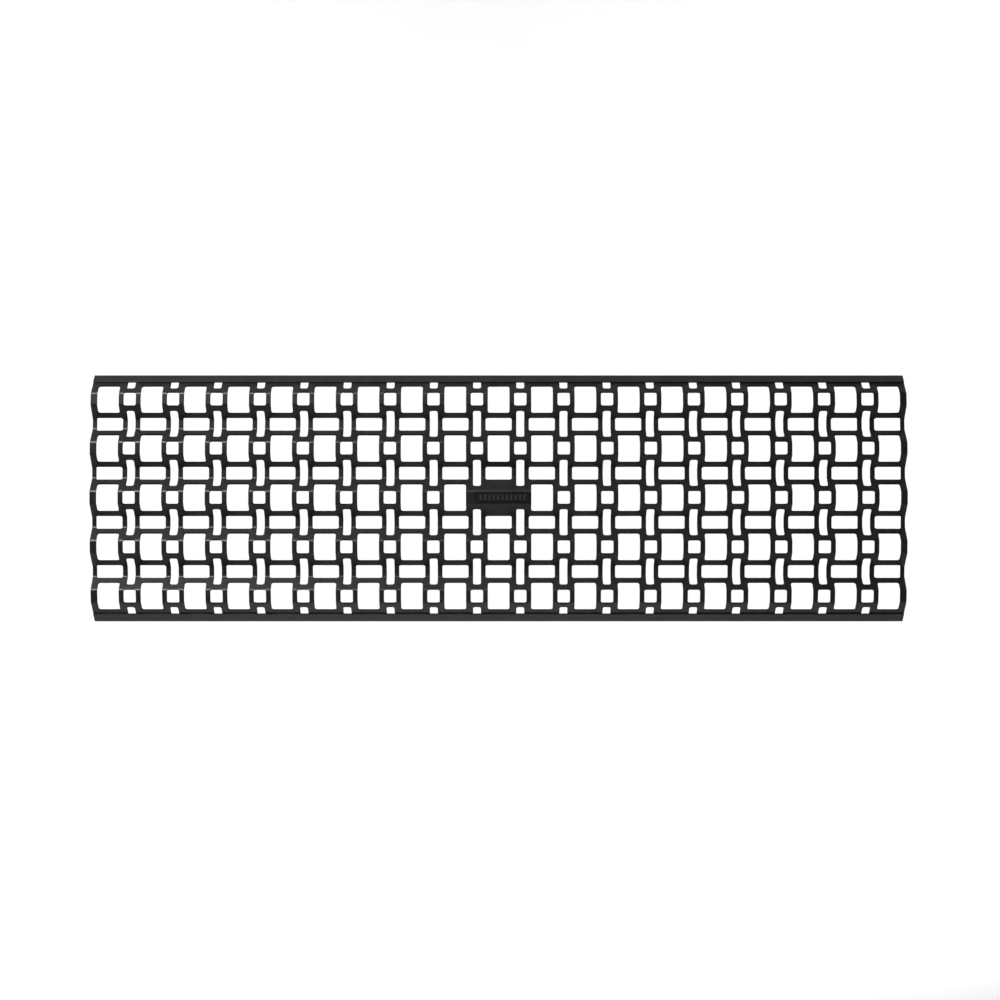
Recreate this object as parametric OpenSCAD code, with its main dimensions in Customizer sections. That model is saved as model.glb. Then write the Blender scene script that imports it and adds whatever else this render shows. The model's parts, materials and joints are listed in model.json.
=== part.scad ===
// Vehicle front grille: a corrugated lattice panel with edge rails, a badge and its mounting brackets.
// X runs along the width, Y from front to back, Z up. The origin is the centre of the overall box.

/* [Lattice panel] */
// Width of the panel, end to end
panel_w = 1000; // [996:1:1004]
// Height of the panel, over its rails
panel_h = 304.6; // [304:0.2:306]
// Thickness of the sheet
sheet_t = 2; // [1.5:0.1:2.2]
// Distance between neighbouring large columns
pitch_x = 53.2; // [53:0.1:53.4]
// Distance between neighbouring crests
pitch_z = 60.4; // [60.2:0.1:60.6]
// Depth of the corrugation, from crest to valley
wave_depth = 15; // [13:0.5:16]
// Height of a crest's flat, between its bend lines
crest_flat = 14.4; // [13.6:0.2:15]
// Height of a valley's flat, between its bend lines
valley_flat = 12; // [11:0.2:12.6]
// Radius of the bends, at mid thickness
bend_r = 4.6; // [4.2:0.1:5]
// Radius of the panel's overall bow, top to bottom
bow_r = 1100; // [1000:50:1600]

/* [Openings] */
// Width of the tall opening on a crest
tall_w = 26.4; // [26:0.1:28]
// Height of the tall opening on a crest
tall_h = 31.8; // [30:0.1:34]
// Side of the small square opening on a crest
square_w = 15; // [14:0.1:17]
// Width of the wide opening in a valley
wide_w = 32; // [31:0.1:34]
// Height of the wide opening in a valley
wide_h = 15.1; // [14:0.1:17]
// Width of the slim opening in a valley
slim_w = 9.6; // [9:0.1:12]
// Height of the slim opening in a valley
slim_h = 31.3; // [30:0.1:33]
// Corner radius of every opening
corner_r = 2.5; // [1.5:0.1:3]

/* [Rails] */
// Thickness of the rail's metal
rail_t = 1.5; // [1.2:0.1:2]
// Length of the rail's front leg, along the sheet from its edge
rail_front_leg = 12.2; // [11.6:0.1:12.8]
// Length of the rail's rear leg, along the sheet from its edge
rail_rear_leg = 7.8; // [7.6:0.1:8.4]

/* [Badge] */
// Length of the badge
badge_w = 68; // [60:1:68]
// Height of the badge
badge_h = 13.6; // [12:0.1:14]
// Thickness of the badge's body
badge_t = 2.4; // [2:0.1:3]
// How far the badge sits to the right of the middle
badge_x = 4.8; // [0:0.1:5]
// Number of upright ribs on the badge
badge_ribs = 11; // [5:2:13]

/* [Brackets] */
// Width of each bracket
bracket_w = 36; // [34:1:38]
// Thickness of the bracket's metal
bracket_t = 2; // [1.8:0.1:2.2]
// How far a bracket reaches behind the rail
bracket_reach = 42; // [40:1:45]
// Columns between the middle of the grille and each bracket
bracket_columns = 6; // [5:1:8]
// Diameter of the hole that takes the vehicle's bolt
bolt_hole_d = 6.6; // [6.4:0.1:7]
// Length of a bottom bracket's slot
slot_length = 12; // [10:1:14]

/* [Hidden] */
$fn = 48;

SATIN_BLACK = "#2d2e30";
PLATE_BLACK = "#1d1e21";
ZINC = "#a9acb0";
RUBBER = "#17181a";

// Rows and columns: whole numbers are the crests and the large columns, halves are what lies between
last_crest = 2;
last_column = 9;

// How far the half openings at the edges run in under the rail, and how much longer they are than
// half of a whole one
opening_cover = 2.4;
opening_extra = 0.7;

// Badge: what stands in front of the sheet
tape_t = 0.8;
insert_t = 1.2;
rib_proud = 0.6;
badge_front = tape_t + badge_t + rib_proud;
badge_corner_r = 2;
badge_rim = 1.8;
badge_stud_d = 3;
badge_stud_x = 20;
badge_stud_length = 6;
badge_play = 0.1;
rib_length_share = 0.62;
rib_width_share = 0.32;
push_nut_d = 9;
push_nut_t = 0.5;
push_nut_crown_d = [6.3, 4.5];
push_nut_crown_t = 1.2;

// Depths, measured back from the front face of the middle crest
function bow(z) = bow_r - sqrt(pow(bow_r, 2) - pow(z, 2));

// The sharp corners of the sheet at mid thickness, as points [depth, height]
function crest_corner(z) = [bow(z) + sheet_t / 2, z];
function valley_corner(z) = [bow(z) + wave_depth + sheet_t / 2, z];

// The outermost flank runs on straight to the sheet's edge, at this angle to the upright
last_corner = crest_corner(last_crest * pitch_z + crest_flat / 2);
next_corner = valley_corner((last_crest + 0.5) * pitch_z - valley_flat / 2);
edge_slope = atan2(next_corner[0] - last_corner[0], next_corner[1] - last_corner[1]);

// Rails: half the thickness of the folded edge, and how far its rounded fold stands off the sheet's
// end, upwards and rearwards
rail_half_t = sheet_t / 2 + rail_t;
rail_corner_r = 1.2;
fold_rise = rail_corner_r + (rail_t - rail_corner_r) * cos(edge_slope)
    + (rail_half_t - rail_corner_r) * sin(edge_slope);
fold_back = rail_corner_r + (rail_t - rail_corner_r) * sin(edge_slope)
    + (rail_half_t - rail_corner_r) * cos(edge_slope);

// The sheet's end at mid thickness, and the overall depth
edge_z = panel_h / 2 - fold_rise;
edge_depth = last_corner[0] + (edge_z - last_corner[1]) * tan(edge_slope);
rail_back_depth = edge_depth + fold_back;
total_depth = badge_front + rail_back_depth + bracket_reach;

// Places along Y in the row's own frame, where the overall box is centred on 0
crest_y = badge_front - total_depth / 2;
edge_y = crest_y + edge_depth;
rail_back_y = crest_y + rail_back_depth;
tab_end_y = rail_back_y + bracket_reach;

// Rubber and sleeves in the brackets
rubber_t = 1.5;
grommet_d = 17;
grommet_neck_d = 11.9;
grommet_hole_d = 12;
sleeve_d = 8.9;
sleeve_play = 0.1;
pad_length = 30;
pad_depth = 22;
pad_slot_play = 2.4;

// Brackets: the leg lies on the rail's rear face, and the tab leaves its outer end rearwards
bracket_gap = 2 * bracket_columns * pitch_x;
leg_inner = 7.4;
tab_outer_z = panel_h / 2 - rubber_t;
tab_inner_z = tab_outer_z - bracket_t;
tab_corner_r = 6;
bolt_inset = 15;
bolt_y = tab_end_y - bolt_inset;
gusset_t = 2;
gusset_reach = 9;
gusset_leg = 6;

// Fasteners between the rails and the brackets
stud_d = 4;
stud_length = 7;
stud_tip = 0.6;
stud_base_d = 5.2;
stud_base_t = 0.9;
stud_inset = 3;
stud_gap = 22;
stud_hole_d = 5.6;
washer_d = 8;
washer_t = 0.8;
washer_hole_d = 4.3;
nut_flats = 7;
nut_t = 3.2;
nut_bore_d = 4.04;
nut_chamfer = 0.35;

EPS = 0.01;
bend_steps = 1;

// ---- Section of the corrugated sheet, as points [depth, height] ----

function unit(v) = v / norm(v);

// The sharp corners from the bottom edge to the top edge
function section_corners() = [
    [edge_depth, -edge_z],
    for (row = [-last_crest : last_crest]) each [
        crest_corner(row * pitch_z - crest_flat / 2),
        crest_corner(row * pitch_z + crest_flat / 2),
        if (row < last_crest) each [
            valley_corner((row + 0.5) * pitch_z - valley_flat / 2),
            valley_corner((row + 0.5) * pitch_z + valley_flat / 2)
        ]
    ],
    [edge_depth, edge_z]
];

// The front-facing normal of the stretch from a to b
function front_normal(a, b) = let (u = unit(b - a)) [-u[1], u[0]];

// One rounded bend at p, between its neighbours a and b, as pairs [point, front normal]
function bend(a, p, b) = let (
    n0 = front_normal(a, p),
    n1 = front_normal(p, b),
    turn = acos(n0 * n1),
    side = sign(cross(n0, n1)),
    centre = p + side * unit(n0 + n1) * bend_r / cos(turn / 2)
) [
    for (step = [0 : bend_steps]) let (
        angle = side * turn * step / bend_steps,
        n = [n0[0] * cos(angle) - n0[1] * sin(angle), n0[0] * sin(angle) + n0[1] * cos(angle)]
    ) [centre - side * n * bend_r, n]
];

function section_path() = let (c = section_corners(), last = len(c) - 1) concat(
    [[c[0], front_normal(c[0], c[1])]],
    [for (i = [1 : last - 1]) each bend(c[i - 1], c[i], c[i + 1])],
    [[c[last], front_normal(c[last - 1], c[last])]]
);

module sheet_section() {
    path = section_path();
    front = [for (i = [0 : len(path) - 1]) path[i][0] + path[i][1] * sheet_t / 2];
    back = [for (i = [len(path) - 1 : -1 : 0]) path[i][0] - path[i][1] * sheet_t / 2];
    polygon(concat(front, back));
}

// ---- Shared shapes ----

module rounded_rect(size, r) {
    square([size[0] - 2 * r, size[1]], center = true);
    square([size[0], size[1] - 2 * r], center = true);
    for (x = [-1, 1], z = [-1, 1])
        translate([x * (size[0] / 2 - r), z * (size[1] / 2 - r)])
            circle(r);
}

module slot_2d(length, width) {
    square([length - width, width], center = true);
    for (x = [-1, 1])
        translate([x * (length - width) / 2, 0])
            circle(d = width);
}

// Extrudes a shape drawn in the YZ plane along X, centred
module along_x(length) {
    translate([-length / 2, 0, 0])
        rotate([90, 0, 90])
            linear_extrude(length)
                children();
}

// Extrudes a shape drawn in the XZ plane backwards from y
module along_y(y, depth) {
    translate([0, y + depth, 0])
        rotate([90, 0, 0])
            linear_extrude(depth)
                children();
}

// Children in the top edge's own frame: the origin is the sheet's end at mid thickness,
// Y points backwards square to the sheet there, and Z runs outwards along it
module at_edge() {
    translate([0, edge_y, edge_z])
        rotate([-edge_slope, 0, 0])
            children();
}

// A point of that frame, from [back, outward], as [y, z] of the row's frame
function from_edge(p) = [
    edge_y + p[0] * cos(edge_slope) + p[1] * sin(edge_slope),
    edge_z - p[0] * sin(edge_slope) + p[1] * cos(edge_slope)
];

// Children as drawn for the top, or mirrored for the bottom; side is 1 or -1
module on_side(side) {
    mirror([0, 0, side > 0 ? 0 : 1])
        children();
}

// Places its children on the axis of each badge stud, with the child's Z pointing backwards from y
module at_each_badge_stud(y) {
    for (side = [-1, 1])
        translate([badge_x + side * badge_stud_x, y, 0])
            rotate([-90, 0, 0])
                children();
}

// ---- Lattice panel ----

module row_of(columns, z, size) {
    for (column = columns)
        translate([column * pitch_x, z])
            rounded_rect(size, corner_r);
}

function large_columns() = [-last_column : last_column];
function small_columns() = [-last_column + 0.5 : last_column - 0.5];

// The tall and square openings along a crest; the middle row is left unpunched under the badge
module crest_openings(row) {
    skip = row == 0 ? 1 : 0;
    row_of([for (c = large_columns()) if (abs(c) >= skip) c], row * pitch_z, [tall_w, tall_h]);
    row_of([for (c = small_columns()) if (abs(c) >= skip) c], row * pitch_z, [square_w, square_w]);
}

module valley_openings(row) {
    row_of(large_columns(), row * pitch_z, [wide_w, wide_h]);
    row_of(small_columns(), row * pitch_z, [slim_w, slim_h]);
}

// The next row of valley openings is cut short by the sheet's edge and runs in under the rail
module edge_openings(side) {
    outer_z = from_edge([-rail_half_t, -rail_front_leg])[1] + opening_cover;
    half_row(small_columns(), side, slim_w, slim_h, outer_z, corner_r);
    half_row(large_columns(), side, wide_w, wide_h, outer_z, 0);
}

// Openings from the place where a whole one would start out to outer_z, with corners of radius r
module half_row(columns, side, width, height, outer_z, r) {
    inner_z = (last_crest + 0.5) * pitch_z - height / 2 - opening_extra;
    for (column = columns)
        translate([column * pitch_x, side * (inner_z + outer_z) / 2])
            if (r > 0)
                rounded_rect([width, outer_z - inner_z], r);
            else
                square([width, outer_z - inner_z], center = true);
}

module lattice_panel() color(SATIN_BLACK) {
    cut_depth = edge_depth + 2 * sheet_t;
    difference() {
        translate([0, crest_y, 0])
            along_x(panel_w)
                sheet_section();
        along_y(crest_y - sheet_t, cut_depth) {
            for (row = [-last_crest : last_crest])
                crest_openings(row);
            for (row = [-last_crest + 0.5 : last_crest - 0.5])
                valley_openings(row);
            for (side = [-1, 1])
                edge_openings(side);
        }
        at_each_badge_stud(crest_y - sheet_t)
            cylinder(h = 3 * sheet_t, d = badge_stud_d + 2 * badge_play);
    }
}

// ---- Rails ----

// A folded channel over the sheet's edge, lying along the sloping flank
module rail_section() {
    width = 2 * rail_half_t;
    height = rail_t + rail_front_leg;
    difference() {
        translate([-rail_half_t, -rail_front_leg]) {
            square([width, height - rail_corner_r]);
            translate([rail_corner_r, 0])
                square([width - 2 * rail_corner_r, height]);
            for (y = [rail_corner_r, width - rail_corner_r])
                translate([y, height - rail_corner_r])
                    circle(rail_corner_r);
        }
        translate([-sheet_t / 2, -2 * rail_front_leg])
            square([sheet_t, 2 * rail_front_leg]);
        translate([0, -2 * rail_front_leg])
            square([2 * rail_half_t, 2 * rail_front_leg - rail_rear_leg]);
    }
}

module rail(side) {
    on_side(side)
        at_edge()
            along_x(panel_w)
                rail_section();
}

module top_rail() color(SATIN_BLACK) rail(1);
module bottom_rail() color(SATIN_BLACK) rail(-1);

// ---- Badge ----

// A tablet with a tray in its face and two studs that pass through the sheet
module badge_plate() color(PLATE_BLACK) {
    back_y = crest_y - tape_t;
    difference() {
        translate([badge_x, 0, 0])
            along_y(back_y - badge_t, badge_t)
                rounded_rect([badge_w, badge_h], badge_corner_r);
        translate([badge_x, 0, 0])
            along_y(back_y - badge_t - EPS, insert_t + EPS)
                rounded_rect([badge_w - 2 * badge_rim, badge_h - 2 * badge_rim], badge_corner_r / 2);
    }
    at_each_badge_stud(back_y)
        cylinder(h = badge_stud_length, d = badge_stud_d);
}

// A ribbed panel that fills the tray
module badge_insert() color("#3a3b3f") {
    insert_w = badge_w - 2 * badge_rim - badge_play;
    insert_h = badge_h - 2 * badge_rim - badge_play;
    rib_pitch = insert_w / (badge_ribs + 1);
    front_y = crest_y - tape_t - badge_t;
    translate([badge_x, 0, 0]) {
        along_y(front_y, insert_t)
            rounded_rect([insert_w, insert_h], badge_corner_r / 2);
        for (i = [1 : badge_ribs])
            translate([(i - (badge_ribs + 1) / 2) * rib_pitch, 0, 0])
                along_y(front_y - rib_proud, rib_proud + insert_t / 2)
                    square([rib_pitch * rib_width_share, insert_h * rib_length_share], center = true);
    }
}

module badge_tape() color(RUBBER) {
    difference() {
        translate([badge_x, 0, 0])
            along_y(crest_y - tape_t, tape_t)
                rounded_rect([badge_w - 2 * badge_rim, badge_h - 2 * badge_rim], badge_corner_r / 2);
        at_each_badge_stud(crest_y - 2 * tape_t)
            cylinder(h = 3 * tape_t, d = badge_stud_d + badge_play);
    }
}

// Push-on nuts: a domed disc of spring steel on each of the badge's studs
module badge_push_nuts() color(ZINC) {
    at_each_badge_stud(crest_y + sheet_t)
        difference() {
            union() {
                cylinder(h = push_nut_t, d = push_nut_d);
                cylinder(h = push_nut_crown_t, d1 = push_nut_crown_d[0], d2 = push_nut_crown_d[1]);
            }
            translate([0, 0, -push_nut_t])
                cylinder(h = 3 * push_nut_crown_t, d = badge_stud_d + badge_play);
        }
}

// ---- Brackets ----

// The folded strip, in the YZ plane: the leg's front face, the tab, and the leg's rear face
module bracket_section() {
    outer = rail_half_t;
    inner = rail_half_t + bracket_t;
    polygon([
        from_edge([outer, -leg_inner]),
        meeting(outer, tab_outer_z),
        [tab_end_y, tab_outer_z],
        [tab_end_y, tab_inner_z],
        meeting(inner, tab_inner_z),
        from_edge([inner, -leg_inner])
    ]);
}

// Where the plane that lies back behind the sheet's middle meets the height z, as [y, z]
function meeting(back, z) =
    from_edge([back, (z - edge_z + back * sin(edge_slope)) / cos(edge_slope)]);

module bracket_outline() {
    start_y = from_edge([rail_half_t, -leg_inner])[0];
    translate([-bracket_w / 2, start_y])
        square([bracket_w, tab_end_y - start_y - tab_corner_r]);
    translate([-bracket_w / 2 + tab_corner_r, start_y])
        square([bracket_w - 2 * tab_corner_r, tab_end_y - start_y]);
    for (side = [-1, 1])
        translate([side * (bracket_w / 2 - tab_corner_r), tab_end_y - tab_corner_r])
            circle(tab_corner_r);
}

// A web that stiffens the fold, sunk into the metal by half its thickness
module gusset() {
    inner = rail_half_t + bracket_t;
    fold = meeting(inner, tab_inner_z);
    foot = (tab_inner_z - edge_z + inner * sin(edge_slope)) / cos(edge_slope) - gusset_leg;
    along_x(gusset_t)
        polygon([
            from_edge([inner, foot]),
            from_edge([inner - bracket_t / 2, foot]),
            meeting(inner - bracket_t / 2, tab_inner_z + bracket_t / 2),
            [fold[0] + gusset_reach, tab_inner_z + bracket_t / 2],
            [fold[0] + gusset_reach, tab_inner_z]
        ]);
}

// A folded angle with two holes for the rail's studs, drawn for the top
module bracket_body() {
    difference() {
        union() {
            intersection() {
                along_x(bracket_w)
                    bracket_section();
                linear_extrude(panel_h)
                    bracket_outline();
            }
            gusset();
        }
        at_edge()
            for (side = [-1, 1])
                translate([side * stud_gap / 2, rail_half_t - bracket_t, -stud_inset])
                    rotate([-90, 0, 0])
                        cylinder(h = 3 * bracket_t, d = stud_hole_d);
    }
}

module top_bracket(column) color(SATIN_BLACK) {
    translate([column * pitch_x, 0, 0])
        difference() {
            bracket_body();
            translate([0, bolt_y, tab_inner_z - bracket_t])
                cylinder(h = 3 * bracket_t, d = grommet_hole_d);
        }
}

module bottom_bracket(column) color(SATIN_BLACK) {
    translate([column * pitch_x, 0, 0])
        mirror([0, 0, 1])
            difference() {
                bracket_body();
                translate([0, bolt_y, tab_inner_z - bracket_t])
                    linear_extrude(3 * bracket_t)
                        slot_2d(slot_length, bolt_hole_d);
            }
}

module top_left_bracket() top_bracket(-bracket_columns);
module top_right_bracket() top_bracket(bracket_columns);
module bottom_left_bracket() bottom_bracket(-bracket_columns);
module bottom_right_bracket() bottom_bracket(bracket_columns);

// ---- Fasteners behind the rails ----

// Places its children on each stud's axis, at the height back behind the rail's rear face and with
// the child's Z along the stud
module at_each_stud(side, back) {
    for (bracket = [-1, 1], stud = [-1, 1])
        on_side(side)
            at_edge()
                translate([bracket * bracket_gap / 2 + stud * stud_gap / 2, rail_half_t + back, -stud_inset])
                    rotate([-90, 0, 0])
                        children();
}

module weld_stud() {
    cylinder(h = stud_base_t, d = stud_base_d);
    cylinder(h = stud_length - stud_tip, d = stud_d);
    translate([0, 0, stud_length - stud_tip])
        cylinder(h = stud_tip, d1 = stud_d, d2 = stud_d - 2 * stud_tip);
}

module washer() {
    difference() {
        cylinder(h = washer_t, d = washer_d);
        translate([0, 0, -washer_t])
            cylinder(h = 3 * washer_t, d = washer_hole_d);
    }
}

// A hexagon nut with chamfered corners
module hex_nut() {
    across_corners = nut_flats / cos(30);
    face_d = across_corners - 2 * nut_chamfer;
    difference() {
        intersection() {
            cylinder(h = nut_t, d = across_corners, $fn = 6);
            union() {
                cylinder(h = nut_chamfer, d1 = face_d, d2 = across_corners);
                translate([0, 0, nut_chamfer])
                    cylinder(h = nut_t - 2 * nut_chamfer, d = across_corners + EPS);
                translate([0, 0, nut_t - nut_chamfer])
                    cylinder(h = nut_chamfer, d1 = across_corners, d2 = face_d);
            }
        }
        translate([0, 0, -nut_t])
            cylinder(h = 3 * nut_t, d = nut_bore_d);
    }
}

module top_weld_studs() color(ZINC) at_each_stud(1, 0) weld_stud();
module bottom_weld_studs() color(ZINC) at_each_stud(-1, 0) weld_stud();
module top_stud_washers() color(ZINC) at_each_stud(1, bracket_t) washer();
module bottom_stud_washers() color(ZINC) at_each_stud(-1, bracket_t) washer();
module top_stud_nuts() color(ZINC) at_each_stud(1, bracket_t + washer_t) hex_nut();
module bottom_stud_nuts() color(ZINC) at_each_stud(-1, bracket_t + washer_t) hex_nut();

// ---- Isolators ----

module at_each_bolt(z) {
    for (bracket = [-1, 1])
        translate([bracket * bracket_gap / 2, bolt_y, z])
            children();
}

// Grooved rubber ring that snaps into the tab's hole
module top_grommets() color(RUBBER) {
    at_each_bolt(tab_inner_z - rubber_t)
        difference() {
            union() {
                cylinder(h = rubber_t, d = grommet_d);
                cylinder(h = bracket_t + 2 * rubber_t, d = grommet_neck_d);
                translate([0, 0, bracket_t + rubber_t])
                    cylinder(h = rubber_t, d = grommet_d);
            }
            translate([0, 0, -rubber_t])
                cylinder(h = bracket_t + 4 * rubber_t, d = sleeve_d + sleeve_play);
        }
}

// Steel tube that stops the bolt from crushing the rubber
module top_sleeves() color(ZINC) {
    at_each_bolt(tab_inner_z - rubber_t)
        difference() {
            cylinder(h = bracket_t + 2 * rubber_t, d = sleeve_d);
            translate([0, 0, -rubber_t])
                cylinder(h = bracket_t + 4 * rubber_t, d = bolt_hole_d);
        }
}

// Rubber pad under each bottom tab, slotted like the tab
module bottom_pads() color(RUBBER) {
    at_each_bolt(-tab_outer_z - rubber_t)
        difference() {
            linear_extrude(rubber_t)
                rounded_rect([pad_length, pad_depth], tab_corner_r / 2);
            translate([0, 0, -rubber_t])
                linear_extrude(3 * rubber_t)
                    slot_2d(slot_length + pad_slot_play, bolt_hole_d + pad_slot_play);
        }
}

lattice_panel();
top_rail();
bottom_rail();
badge_plate();
badge_insert();
badge_tape();
badge_push_nuts();
top_left_bracket();
top_right_bracket();
bottom_left_bracket();
bottom_right_bracket();
top_weld_studs();
bottom_weld_studs();
top_stud_washers();
bottom_stud_washers();
top_stud_nuts();
bottom_stud_nuts();
top_grommets();
top_sleeves();
bottom_pads();
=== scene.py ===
"""The front grille's looks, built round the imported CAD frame.

The lattice is made again here from its flat pattern: the openings are punched square to the sheet,
and the sheet is then bent, so its cut edges, rolled rims and round bends are real geometry.
The other parts stay as the CAD made them, and most have their sharp edges eased by modifiers.
The grille's lengths and the camera's place are in millimetres until Blender takes them. The materials'
relief, the lamps and the backdrop are in metres.
"""
import json
import math

import bpy
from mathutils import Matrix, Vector
from mathutils.geometry import delaunay_2d_cdt

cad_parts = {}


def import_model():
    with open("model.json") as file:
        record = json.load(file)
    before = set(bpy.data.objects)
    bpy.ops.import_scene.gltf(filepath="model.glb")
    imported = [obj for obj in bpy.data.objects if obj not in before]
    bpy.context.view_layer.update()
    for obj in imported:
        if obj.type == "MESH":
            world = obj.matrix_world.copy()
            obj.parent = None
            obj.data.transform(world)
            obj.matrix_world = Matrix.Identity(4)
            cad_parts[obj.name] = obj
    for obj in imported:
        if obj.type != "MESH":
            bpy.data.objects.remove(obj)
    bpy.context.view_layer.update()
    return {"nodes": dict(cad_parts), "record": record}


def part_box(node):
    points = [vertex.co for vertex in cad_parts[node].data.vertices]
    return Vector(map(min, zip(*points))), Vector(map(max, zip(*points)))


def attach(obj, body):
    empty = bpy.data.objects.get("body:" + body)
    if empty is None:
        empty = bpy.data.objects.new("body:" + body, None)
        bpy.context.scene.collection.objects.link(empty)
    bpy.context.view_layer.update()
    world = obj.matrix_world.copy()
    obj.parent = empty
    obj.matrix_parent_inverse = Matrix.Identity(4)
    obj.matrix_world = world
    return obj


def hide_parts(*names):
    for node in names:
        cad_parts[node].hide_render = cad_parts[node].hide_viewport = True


MM = 0.001
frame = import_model()


def box_mm(node):
    """A CAD node's lowest and highest corners, in millimetres."""
    lo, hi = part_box(node)
    return lo / MM, hi / MM


# ---- The sheet: its section and its pattern, with the CAD's sizes ----

# The flats and the bend radius lie near a fit to the photo. Their exact values also keep the CAD's bend
# lines clear of the openings' edges, as a precaution for its mesh.
SHEET_T = 2.0
WAVE_DEPTH = 15.0
CREST_FLAT = 14.4
VALLEY_FLAT = 12.0
BEND_R = 4.6
BOW_R = 1100.0
PITCH_X = 53.2
PITCH_Z = 60.4
LAST_CREST = 2
LAST_COLUMN = 9
TALL = (26.4, 31.8)
SQUARE = (15.0, 15.0)
WIDE = (32.0, 15.1)
SLIM = (9.6, 31.3)
CORNER_R = 2.5
BADGE_STUD_X = 20.0
BADGE_STUD_HOLE = 3.2

# The openings cut short at the top and bottom: how much farther from the edge they start than a full
# one would, and how far from the sheet's end they stop
EDGE_EXTRA = 0.7
EDGE_COVERED = 8.4

# The roll of the cut edges, and the steps in a bend and in a quarter of an opening's corner
RIM_R = 0.35
BEND_STEPS = 6
ARC_STEPS = 4

# Small distances that keep the flat pattern's points apart, and the same for angles in radians
LEAST_HALF_SIDE = 0.01
CROSSING_GAP = 0.02
SIDE_GAP = 0.05
LEAST_ANGLE_STEP = 0.09

# The least sine of a crossing's angle on a corner, the triangulation's tolerance, and the search's steps
LEAST_SINE = 0.001
MESH_TOLERANCE = 1e-5
HALVINGS = 40

PANEL_LO, PANEL_HI = box_mm("lattice_panel")
CREST_Y = PANEL_LO.y
PANEL_W = PANEL_HI.x - PANEL_LO.x


def bow(z):
    """How far the bowed sheet falls back at height z."""
    return BOW_R - math.sqrt(BOW_R * BOW_R - z * z)


def section_corners():
    """The sharp corners of the sheet at mid thickness, as (depth, height), from bottom to top."""
    half = SHEET_T / 2

    def valley(z):
        return Vector((bow(z) + WAVE_DEPTH + half, z))

    points = []
    for row in range(-LAST_CREST, LAST_CREST + 1):
        for side in (-1, 1):
            z = row * PITCH_Z + side * CREST_FLAT / 2
            points.append(Vector((bow(z) + half, z)))
        if row < LAST_CREST:
            points += [valley((row + 0.5) * PITCH_Z + side * VALLEY_FLAT / 2) for side in (-1, 1)]
    last = points[-1]
    run = (valley((LAST_CREST + 0.5) * PITCH_Z - VALLEY_FLAT / 2) - last).normalized()
    end = last + run * (PANEL_HI.z - half * run.x - last.y) / run.y
    return [Vector((end.x, -end.y))] + points + [end]


def front_normal(a, b):
    """The normal, towards the viewer, of the straight from a up to b."""
    u = (b - a).normalized()
    return Vector((-u.y, u.x))


class Section:
    """The sheet's bent section, followed by the distance s along its mid thickness."""

    def __init__(self):
        corners = section_corners()
        self.parts = []
        self.lines = []
        here, s = corners[0], 0.0
        for a, p, b in zip(corners, corners[1:], corners[2:]):
            n0, n1 = front_normal(a, p), front_normal(p, b)
            turn = math.acos(max(-1.0, min(1.0, n0.dot(n1))))
            side = 1.0 if n0.x * n1.y - n0.y * n1.x > 0 else -1.0
            centre = p + side * (n0 + n1).normalized() * BEND_R / math.cos(turn / 2)
            start = centre - side * n0 * BEND_R
            s = self.add_straight(here, start, n0, s)
            self.lines += [s + turn * BEND_R * i / BEND_STEPS for i in range(BEND_STEPS + 1)]
            self.parts.append((s, s + turn * BEND_R, "arc", centre, n0, side))
            s += turn * BEND_R
            here = centre - side * n1 * BEND_R
        self.length = self.add_straight(here, corners[-1], front_normal(here, corners[-1]), s)

    def add_straight(self, a, b, n, s):
        end = s + (b - a).length
        self.parts.append((s, end, "straight", a, n, 0.0))
        return end

    def at(self, s):
        """The mid-thickness point and front normal at s, each as (depth, height)."""
        part = next((p for p in self.parts if s <= p[1]), self.parts[-1])
        start, _, kind, base, n0, side = part
        if kind == "straight":
            return base + Vector((n0.y, -n0.x)) * (s - start), n0
        angle = side * (s - start) / BEND_R
        c, d = math.cos(angle), math.sin(angle)
        n = Vector((n0.x * c - n0.y * d, n0.x * d + n0.y * c))
        return base - side * n * BEND_R, n

    def place(self, x, s, h):
        """Where the point (x, s) of the flat pattern goes when bent, at height h over mid thickness."""
        p, n = self.at(s)
        q = p + n * h
        return Vector((x, CREST_Y + q.x, q.y))

    def direction(self, x, s_part, h_part, s):
        """A direction of the flat pattern, when bent at s."""
        n = self.at(s)[1]
        d = Vector((n.y, -n.x)) * s_part + n * h_part
        return Vector((x, d.x, d.y)).normalized()

    def s_seen(self, z, outward):
        """The s at which an opening's end is seen from the front at height z."""
        lo, hi = 0.0, self.length
        for _ in range(HALVINGS):
            s = (lo + hi) / 2
            p, n = self.at(s)
            if p.y - outward * abs(n.y) * SHEET_T / 2 < z:
                lo = s
            else:
                hi = s
        return (lo + hi) / 2


class Opening:
    """A rounded rectangle of the flat pattern, from s0 to s1 and centred on x."""

    def __init__(self, x, s0, s1, width, r=CORNER_R):
        self.x, self.s0, self.s1, self.w = x, s0, s1, width
        self.r = min(r, (s1 - s0) / 2 - LEAST_HALF_SIDE, width / 2 - LEAST_HALF_SIDE)


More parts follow.
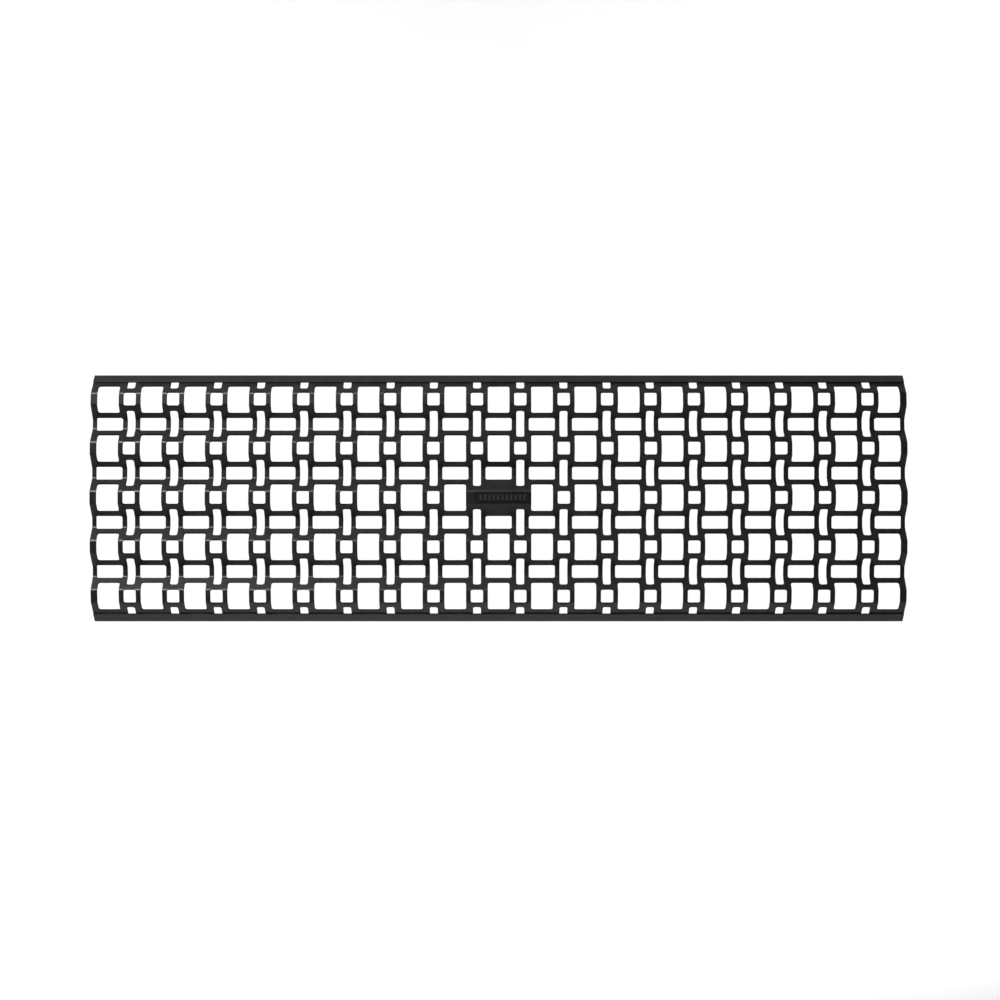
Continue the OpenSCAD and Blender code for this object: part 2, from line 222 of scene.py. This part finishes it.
def rounded_loop(o, lines):
    """Points of an opening's rim as (x, s, outward x, outward s), anticlockwise.

    Each line of constant s that crosses the rolled rim's outer edge gets a point of its own there.
    Returns the points, and for each crossing the pair (line number, point number).
    """
    rim = o.r + RIM_R
    hx, hs = o.w / 2 - o.r, (o.s1 - o.s0) / 2 - o.r
    mid = (o.s0 + o.s1) / 2
    crossed = [(k, s) for k, s in enumerate(lines) if abs(s - mid) < hs + rim - CROSSING_GAP]
    points, marks = [], []

    def add(angle, cx, cs, line=None):
        m = (math.cos(angle), math.sin(angle))
        if line is not None:
            marks.append((line, len(points)))
        points.append((cx + m[0] * o.r, cs + m[1] * o.r, m[0], m[1]))

    def corner(first, cx, cs, on_arc):
        """A quarter of an arc from the angle first. A crossing takes the place of a step close to it."""
        angles = [(first + math.pi / 2 * i / ARC_STEPS, None) for i in range(ARC_STEPS + 1)]
        up = 1 if math.sin(first + math.pi / 4) > 0 else -1
        for k, s in on_arc:
            a = up * math.asin(max(LEAST_SINE, min(1.0, up * (s - cs) / rim)))
            a = a if math.cos(first + math.pi / 4) > 0 else math.pi - a
            a = a % (2 * math.pi)
            angles = [(b, j) for b, j in angles if j is not None or abs(b - a) > LEAST_ANGLE_STEP]
            angles.append((a, k))
        for a, k in sorted(angles):
            add(a, cx, cs, k)

    def side(cx, m, found):
        for k, s in found:
            marks.append((k, len(points)))
            points.append((cx, s, m, 0.0))

    straight = [(k, s) for k, s in crossed if abs(s - mid) < hs - SIDE_GAP]
    upper = [(k, s) for k, s in crossed if s - mid >= hs - SIDE_GAP]
    lower = [(k, s) for k, s in crossed if mid - s >= hs - SIDE_GAP]
    quarter = math.pi / 2
    side(o.x + o.w / 2, 1.0, straight)
    corner(0.0, o.x + hx, mid + hs, upper)
    corner(quarter, o.x - hx, mid + hs, upper)
    side(o.x - o.w / 2, -1.0, straight[::-1])
    corner(2 * quarter, o.x - hx, mid - hs, lower)
    corner(3 * quarter, o.x + hx, mid - hs, lower)
    return points, marks


def panel_openings(section):
    """Every opening of the flat pattern."""
    large = range(-LAST_COLUMN, LAST_COLUMN + 1)
    small = [c + 0.5 for c in range(-LAST_COLUMN, LAST_COLUMN)]
    out = []

    def row(columns, z, size):
        s0 = section.s_seen(z - size[1] / 2, -1)
        s1 = section.s_seen(z + size[1] / 2, 1)
        out.extend(Opening(c * PITCH_X, s0, s1, size[0]) for c in columns)

    for r in range(-LAST_CREST, LAST_CREST + 1):
        skip = 1 if r == 0 else 0
        row([c for c in large if abs(c) >= skip], r * PITCH_Z, TALL)
        row([c for c in small if abs(c) >= skip], r * PITCH_Z, SQUARE)
    for r in range(-LAST_CREST, LAST_CREST):
        row(large, (r + 0.5) * PITCH_Z, WIDE)
        row(small, (r + 0.5) * PITCH_Z, SLIM)
    for columns, size in ((small, SLIM), (large, WIDE)):
        s_in = section.s_seen((LAST_CREST + 0.5) * PITCH_Z - size[1] / 2 - EDGE_EXTRA, -1)
        s_out = section.length - EDGE_COVERED
        for c in columns:
            out.append(Opening(c * PITCH_X, s_in, s_out, size[0]))
            out.append(Opening(c * PITCH_X, section.length - s_out, section.length - s_in, size[0]))
    badge_lo, badge_hi = box_mm("badge_plate")
    r, mid = BADGE_STUD_HOLE / 2, section.length / 2
    for side in (-1, 1):
        x = (badge_lo.x + badge_hi.x) / 2 + side * BADGE_STUD_X
        out.append(Opening(x, mid - r, mid + r, 2 * r, r))
    return out


def panel_outline(section):
    """The sheet's own edge, with a point on each bend line, and which lines it crosses."""
    x, s = PANEL_W / 2, section.length
    points, marks = [], []
    for sx, order in ((1, range(len(section.lines))), (-1, range(len(section.lines) - 1, -1, -1))):
        points.append((sx * x, 0.0 if sx > 0 else s, -sx, 1 if sx > 0 else -1))
        for k in order:
            marks.append((k, len(points)))
            points.append((sx * x, section.lines[k], -sx, 0))
        points.append((sx * x, s if sx > 0 else 0.0, -sx, -1 if sx > 0 else 1))
    return points, marks


# Rings from the front face round the rim to the back face: (share of the rim's width that the ring
# stands back from the cut, height over mid thickness, share of the face's normal, share of the cut's)
RINGS = (
    (1.0, SHEET_T / 2, 1.0, 0.0),
    (1 - math.sin(math.pi / 4), SHEET_T / 2 - RIM_R * (1 - math.cos(math.pi / 4)), 1.0, 1.0),
    (0.0, SHEET_T / 2 - RIM_R, 0.0, 1.0),
    (0.0, RIM_R - SHEET_T / 2, 0.0, 1.0),
    (1.0, -SHEET_T / 2, -1.0, 0.0),
)


def join_loops(loops):
    """All loops' points in one list, and each point's loop, which is -1 for the sheet's own edge.

    Also returns the edges round the loops, and the numbers of the points on each bend line.
    """
    flat, owner, edges, crossings = [], [], [], {}
    for number, (points, marks) in enumerate(loops):
        base, n = len(flat), len(points)
        flat += points
        owner += [number if number < len(loops) - 1 else -1] * n
        edges += [(base + i, base + (i + 1) % n) for i in range(n)]
        for k, i in marks:
            crossings.setdefault(k, []).append(base + i)
    return flat, owner, edges, crossings


def flat_pattern(loops):
    """The loops' points, and the triangles between them that the openings leave."""
    flat, owner, edges, crossings = join_loops(loops)
    outer = [Vector((x + mx * RIM_R, s + ms * RIM_R)) for x, s, mx, ms in flat]
    for found in crossings.values():
        found.sort(key=lambda i: outer[i].x)
        edges += list(zip(found[::2], found[1::2]))
    _, _, filled, sources, _, _ = delaunay_2d_cdt(outer, edges, [], 0, MESH_TOLERANCE)
    triangles = []
    for triangle in filled:
        ids = [sources[i][0] for i in triangle]
        owners = {owner[i] for i in ids}
        if len(owners) > 1 or owners == {-1}:
            triangles.append(ids)
    return flat, triangles


def bend_rings(section, flat):
    """The vertices, in metres, and the normals of every ring, bent with the sheet."""
    verts, normals = [], []
    for back, h, face, cut in RINGS:
        for x, s, mx, ms in flat:
            here = s + ms * RIM_R * back
            verts.append(section.place(x + mx * RIM_R * back, here, h) * MM)
            normals.append(section.direction(-mx * cut, -ms * cut, face, here))
    return verts, normals


def rim_faces(loops, count):
    """The faces that join each loop's rings, where a ring has count points in all."""
    faces, base = [], 0
    for points, _ in loops:
        n = len(points)
        for ring in range(len(RINGS) - 1):
            a, b = ring * count, (ring + 1) * count
            for i in range(n):
                j = (i + 1) % n
                faces.append((a + base + i, b + base + i, b + base + j, a + base + j))
        base += n
    return faces


def lattice_mesh():
    """The bent sheet: its front, its back and the rims between them."""
    section = Section()
    loops = [rounded_loop(o, section.lines) for o in panel_openings(section)]
    loops.append(panel_outline(section))
    flat, triangles = flat_pattern(loops)
    verts, normals = bend_rings(section, flat)
    last = (len(RINGS) - 1) * len(flat)
    faces = [tuple(ids) for ids in triangles]
    faces += [tuple(last + i for i in reversed(ids)) for ids in triangles]
    faces += rim_faces(loops, len(flat))
    mesh = bpy.data.meshes.new("lattice")
    mesh.from_pydata(verts, [], faces)
    mesh.update()
    mesh.shade_smooth()
    mesh.normals_split_custom_set_from_vertices(normals)
    return mesh


# ---- Materials ----

# The part of a noise's range that the materials spread over their own
NOISE_LO = 0.3
NOISE_HI = 0.7

# How far behind the badge insert's front the painted highlight on the rib faces ends, in millimetres
PAINTED_HIGHLIGHT_DEPTH = 0.3

# Half the distance over which the painted highlight on the rib faces fades into the dull ground, in
# metres
PAINTED_HIGHLIGHT_FADE = 0.00005


def new_material(name):
    """A material with a plain principled shader, its node tree and the shader."""
    mat = bpy.data.materials.new(name)
    mat.use_nodes = True
    nodes = mat.node_tree.nodes
    nodes.clear()
    out = nodes.new("ShaderNodeOutputMaterial")
    bsdf = nodes.new("ShaderNodeBsdfPrincipled")
    mat.node_tree.links.new(bsdf.outputs[0], out.inputs[0])
    return mat, mat.node_tree, bsdf


def noise(tree, scale, detail=4.0):
    """Noise in the object's own space, with features of about 1/scale metres."""
    coords = next((n for n in tree.nodes if n.type == "TEX_COORD"), None)
    coords = coords or tree.nodes.new("ShaderNodeTexCoord")
    tex = tree.nodes.new("ShaderNodeTexNoise")
    tex.inputs["Scale"].default_value = scale
    tex.inputs["Detail"].default_value = detail
    tree.links.new(coords.outputs["Object"], tex.inputs["Vector"])
    return tex.outputs["Fac"]


def spread(tree, value, lo, hi, in_lo=NOISE_LO, in_hi=NOISE_HI):
    """Maps a value from the range in_lo to in_hi to the range lo to hi."""
    m = tree.nodes.new("ShaderNodeMapRange")
    m.inputs["From Min"].default_value = in_lo
    m.inputs["From Max"].default_value = in_hi
    m.inputs["To Min"].default_value = lo
    m.inputs["To Max"].default_value = hi
    tree.links.new(value, m.inputs["Value"])
    return m.outputs["Result"]


def two_tone(tree, value, dark, light):
    """A colour between dark and light, by a noise value."""
    ramp = tree.nodes.new("ShaderNodeValToRGB")
    ramp.color_ramp.elements[0].position = NOISE_LO
    ramp.color_ramp.elements[0].color = (*dark, 1)
    ramp.color_ramp.elements[1].position = NOISE_HI
    ramp.color_ramp.elements[1].color = (*light, 1)
    tree.links.new(value, ramp.inputs["Fac"])
    return ramp.outputs["Color"]


def bump(tree, bsdf, layers):
    """Stacks (height, distance in metres, strength) layers of relief."""
    normal = None
    for height, distance, strength in layers:
        b = tree.nodes.new("ShaderNodeBump")
        b.inputs["Distance"].default_value = distance
        b.inputs["Strength"].default_value = strength
        tree.links.new(height, b.inputs["Height"])
        if normal is not None:
            tree.links.new(normal, b.inputs["Normal"])
        normal = b.outputs["Normal"]
    tree.links.new(normal, bsdf.inputs["Normal"])


def satin_black():
    """Black powder coat: a fine orange peel with a slight mottle in tone and gloss."""
    mat, tree, bsdf = new_material("satin_black_powder_coat")
    tone = two_tone(tree, noise(tree, 90.0), (0.0040, 0.0040, 0.0044), (0.0072, 0.0072, 0.0076))
    tree.links.new(tone, bsdf.inputs["Base Color"])
    tree.links.new(spread(tree, noise(tree, 260.0), 0.33, 0.41), bsdf.inputs["Roughness"])
    bsdf.inputs["Specular IOR Level"].default_value = 0.20
    bump(tree, bsdf, [
        (noise(tree, 700.0, 2.0), 0.00006, 0.5),
        (noise(tree, 2600.0, 2.0), 0.00002, 0.35),
    ])
    return mat


def badge_plastic(name, dark, light, rough):
    """Moulded black plastic with a fine spark-eroded grain."""
    mat, tree, bsdf = new_material(name)
    tree.links.new(two_tone(tree, noise(tree, 150.0), dark, light), bsdf.inputs["Base Color"])
    tree.links.new(spread(tree, noise(tree, 400.0), rough, rough + 0.1), bsdf.inputs["Roughness"])
    bsdf.inputs["Specular IOR Level"].default_value = 0.08
    bump(tree, bsdf, [(noise(tree, 4200.0, 3.0), 0.00003, 0.6)])
    return mat


def ribbed_plastic(name, ground, painted_highlight_tone, face_y):
    """The badge's insert: dull ground, and ribs whose faces, in front of face_y, get a lighter colour as
    a painted highlight.
    """
    mat, tree, bsdf = new_material(name)
    coords = tree.nodes.new("ShaderNodeTexCoord")
    split = tree.nodes.new("ShaderNodeSeparateXYZ")
    tree.links.new(coords.outputs["Object"], split.inputs["Vector"])
    # Painted highlight: the frontmost rib faces are given a lighter colour than the ground between them
    painted_highlight_mask = spread(tree, split.outputs["Y"], 1.0, 0.0, face_y - PAINTED_HIGHLIGHT_FADE, face_y + PAINTED_HIGHLIGHT_FADE)
    mix = tree.nodes.new("ShaderNodeMix")
    mix.data_type = "RGBA"
    tree.links.new(painted_highlight_mask, mix.inputs["Factor"])
    tree.links.new(two_tone(tree, noise(tree, 300.0), *ground), mix.inputs["A"])
    tree.links.new(two_tone(tree, noise(tree, 300.0), *painted_highlight_tone), mix.inputs["B"])
    tree.links.new(mix.outputs["Result"], bsdf.inputs["Base Color"])
    tree.links.new(spread(tree, noise(tree, 500.0), 0.38, 0.5), bsdf.inputs["Roughness"])
    bsdf.inputs["Specular IOR Level"].default_value = 0.16
    bump(tree, bsdf, [(noise(tree, 4200.0, 3.0), 0.00003, 0.6)])
    return mat


def zinc():
    """Zinc plate: pale metal with a cloudy, faintly blue and yellow passivation."""
    mat, tree, bsdf = new_material("zinc_plate")
    tone = two_tone(tree, noise(tree, 320.0), (0.46, 0.47, 0.50), (0.62, 0.60, 0.55))
    tree.links.new(tone, bsdf.inputs["Base Color"])
    bsdf.inputs["Metallic"].default_value = 1.0
    tree.links.new(spread(tree, noise(tree, 900.0), 0.28, 0.48), bsdf.inputs["Roughness"])
    bump(tree, bsdf, [(noise(tree, 3000.0, 3.0), 0.00002, 0.4)])
    return mat


def rubber():
    """Matt black rubber with a dusty bloom."""
    mat, tree, bsdf = new_material("rubber")
    tone = two_tone(tree, noise(tree, 250.0), (0.012, 0.012, 0.013), (0.030, 0.030, 0.031))
    tree.links.new(tone, bsdf.inputs["Base Color"])
    tree.links.new(spread(tree, noise(tree, 600.0), 0.68, 0.85), bsdf.inputs["Roughness"])
    bump(tree, bsdf, [(noise(tree, 2400.0, 3.0), 0.00005, 0.5)])
    return mat


def foam():
    """Black closed-cell foam tape, with open cells along its cut edge."""
    mat, tree, bsdf = new_material("foam_tape")
    tone = two_tone(tree, noise(tree, 3000.0), (0.010, 0.010, 0.010), (0.035, 0.035, 0.035))
    tree.links.new(tone, bsdf.inputs["Base Color"])
    tree.links.new(spread(tree, noise(tree, 1500.0), 0.8, 0.95), bsdf.inputs["Roughness"])
    bump(tree, bsdf, [(noise(tree, 3500.0, 4.0), 0.0001, 0.8)])
    return mat


def floor_white():
    """Matt white for the backdrop, a little uneven."""
    mat, tree, bsdf = new_material("studio_white")
    tone = two_tone(tree, noise(tree, 1.5), (0.90, 0.90, 0.90), (0.93, 0.93, 0.93))
    tree.links.new(tone, bsdf.inputs["Base Color"])
    bsdf.inputs["Roughness"].default_value = 0.9
    return mat


BLACK = satin_black()
MATERIALS = {
    "satin_black": BLACK,
    "badge_black": badge_plastic(
        "badge_black_plastic", (0.0020, 0.0020, 0.0026), (0.0040, 0.0040, 0.0048), 0.36),
    "badge_grey": ribbed_plastic(
        "badge_grey_plastic",
        ((0.0020, 0.0020, 0.0024), (0.0036, 0.0036, 0.0042)),
        # The lighter pair of colours is the painted highlight on the ribs' front faces
        ((0.016, 0.016, 0.020), (0.024, 0.024, 0.030)),
        (box_mm("badge_insert")[0].y + PAINTED_HIGHLIGHT_DEPTH) * MM),
    "zinc": zinc(),
    "rubber": rubber(),
    "foam": foam(),
}


# ---- Pieces ----

# How far sharp edges are rounded, in millimetres, by the ending of the CAD node's name
EASED = {
    "bracket": 0.3, "plate": 0.3, "grommets": 0.3, "pads": 0.3, "rail": 0.25, "sleeves": 0.15,
    "insert": 0.12, "washers": 0.12, "studs": 0.12, "push_nuts": 0.1,
}
EASED_ANGLE = 35
WELD_DISTANCE = 1e-6


def ease_edges(node, width):
    """Rounds a CAD node's sharp edges with modifiers, which leave its mesh as it is."""
    weld = node.modifiers.new("weld", "WELD")
    weld.merge_threshold = WELD_DISTANCE
    bevel = node.modifiers.new("ease", "BEVEL")
    bevel.width = width * MM
    bevel.segments = 2
    bevel.limit_method = "ANGLE"
    bevel.angle_limit = math.radians(EASED_ANGLE)
    bevel.harden_normals = True


def make_lattice():
    """Puts the bent sheet in the place of the CAD's lattice."""
    piece = bpy.data.objects.new("lattice", lattice_mesh())
    bpy.context.collection.objects.link(piece)
    piece.data.materials.append(BLACK)
    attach(piece, "root")
    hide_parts("lattice_panel")


def paint_cad():
    """Gives each CAD node its slot's material, and eases its edges where its name is listed."""
    slots = {s["node"]: s["material_slot"] for s in frame["record"]["subparts"]}
    for name, node in frame["nodes"].items():
        node.data.materials.clear()
        node.data.materials.append(MATERIALS[slots[name]])
        for ending, width in EASED.items():
            if name.endswith(ending):
                ease_edges(node, width)


make_lattice()
paint_cad()


# ---- Studio ----

# The camera's place, in millimetres: beside the middle, before the middle crest, and below the middle
CAMERA_X = 1.7
CAMERA_DISTANCE = 2200
CAMERA_Z = -96
KEY_SPREAD = 44
SWEEP_STEPS = 16


def camera():
    """A long lens, level and a little below the panel's middle, shifted up to frame it."""
    data = bpy.data.cameras.new("camera")
    data.sensor_width = 36.0
    data.lens = 64.84
    data.shift_y = 0.0759
    cam = bpy.data.objects.new("camera", data)
    bpy.context.collection.objects.link(cam)
    cam.location = Vector((CAMERA_X, CREST_Y - CAMERA_DISTANCE, CAMERA_Z)) * MM
    cam.rotation_euler = (math.pi / 2, 0, 0)
    bpy.context.scene.camera = cam


def area_light(name, place, aim, size, power):
    """A rectangular lamp at place that points at aim."""
    data = bpy.data.lights.new(name, "AREA")
    data.shape = "RECTANGLE"
    data.size, data.size_y = size
    data.energy = power
    lamp = bpy.data.objects.new(name, data)
    bpy.context.collection.objects.link(lamp)
    lamp.location = place
    lamp.rotation_euler = (Vector(aim) - Vector(place)).to_track_quat("-Z", "Y").to_euler()
    return lamp


def sweep(floor_z, wall_y, radius, half_width, front_y, top_z):
    """A floor that curves up into a back wall."""
    profile = [(front_y, floor_z), (wall_y - radius, floor_z)]
    for i in range(1, SWEEP_STEPS + 1):
        a = math.pi / 2 * i / SWEEP_STEPS
        profile.append((wall_y - radius + radius * math.sin(a), floor_z + radius - radius * math.cos(a)))
    profile.append((wall_y, top_z))
    verts = [(x, y, z) for y, z in profile for x in (-half_width, half_width)]
    faces = [(2 * i, 2 * i + 1, 2 * i + 3, 2 * i + 2) for i in range(len(profile) - 1)]
    mesh = bpy.data.meshes.new("floor")
    mesh.from_pydata(verts, [], faces)
    mesh.shade_smooth()
    obj = bpy.data.objects.new("floor", mesh)
    bpy.context.collection.objects.link(obj)
    mesh.materials.append(floor_white())


def world(strength):
    """Even white light from all round."""
    w = bpy.data.worlds.new("world")
    w.use_nodes = True
    background = w.node_tree.nodes["Background"]
    background.inputs["Color"].default_value = (1, 1, 1, 1)
    background.inputs["Strength"].default_value = strength
    bpy.context.scene.world = w


camera()
sweep(floor_z=-0.55, wall_y=3.4, radius=1.2, half_width=6.0, front_y=-5.0, top_z=4.0)
world(0.32)
key = area_light("key", (-1.1, -1.7, 1.85), (-0.2, 0, 0), (0.6, 0.6), 10.5)
key.data.spread = math.radians(KEY_SPREAD)
area_light("backdrop_left", (-1.9, 1.2, 1.6), (-1.0, 3.2, 0.2), (1.5, 1.5), 42)
area_light("backdrop_right", (1.9, 1.2, 1.6), (1.0, 3.2, 0.2), (1.5, 1.5), 42)
area_light("floor_wash", (0, 0.9, 1.5), (0, 0.1, -0.55), (3.0, 0.8), 10)
bpy.context.scene.view_settings.view_transform = "Standard"
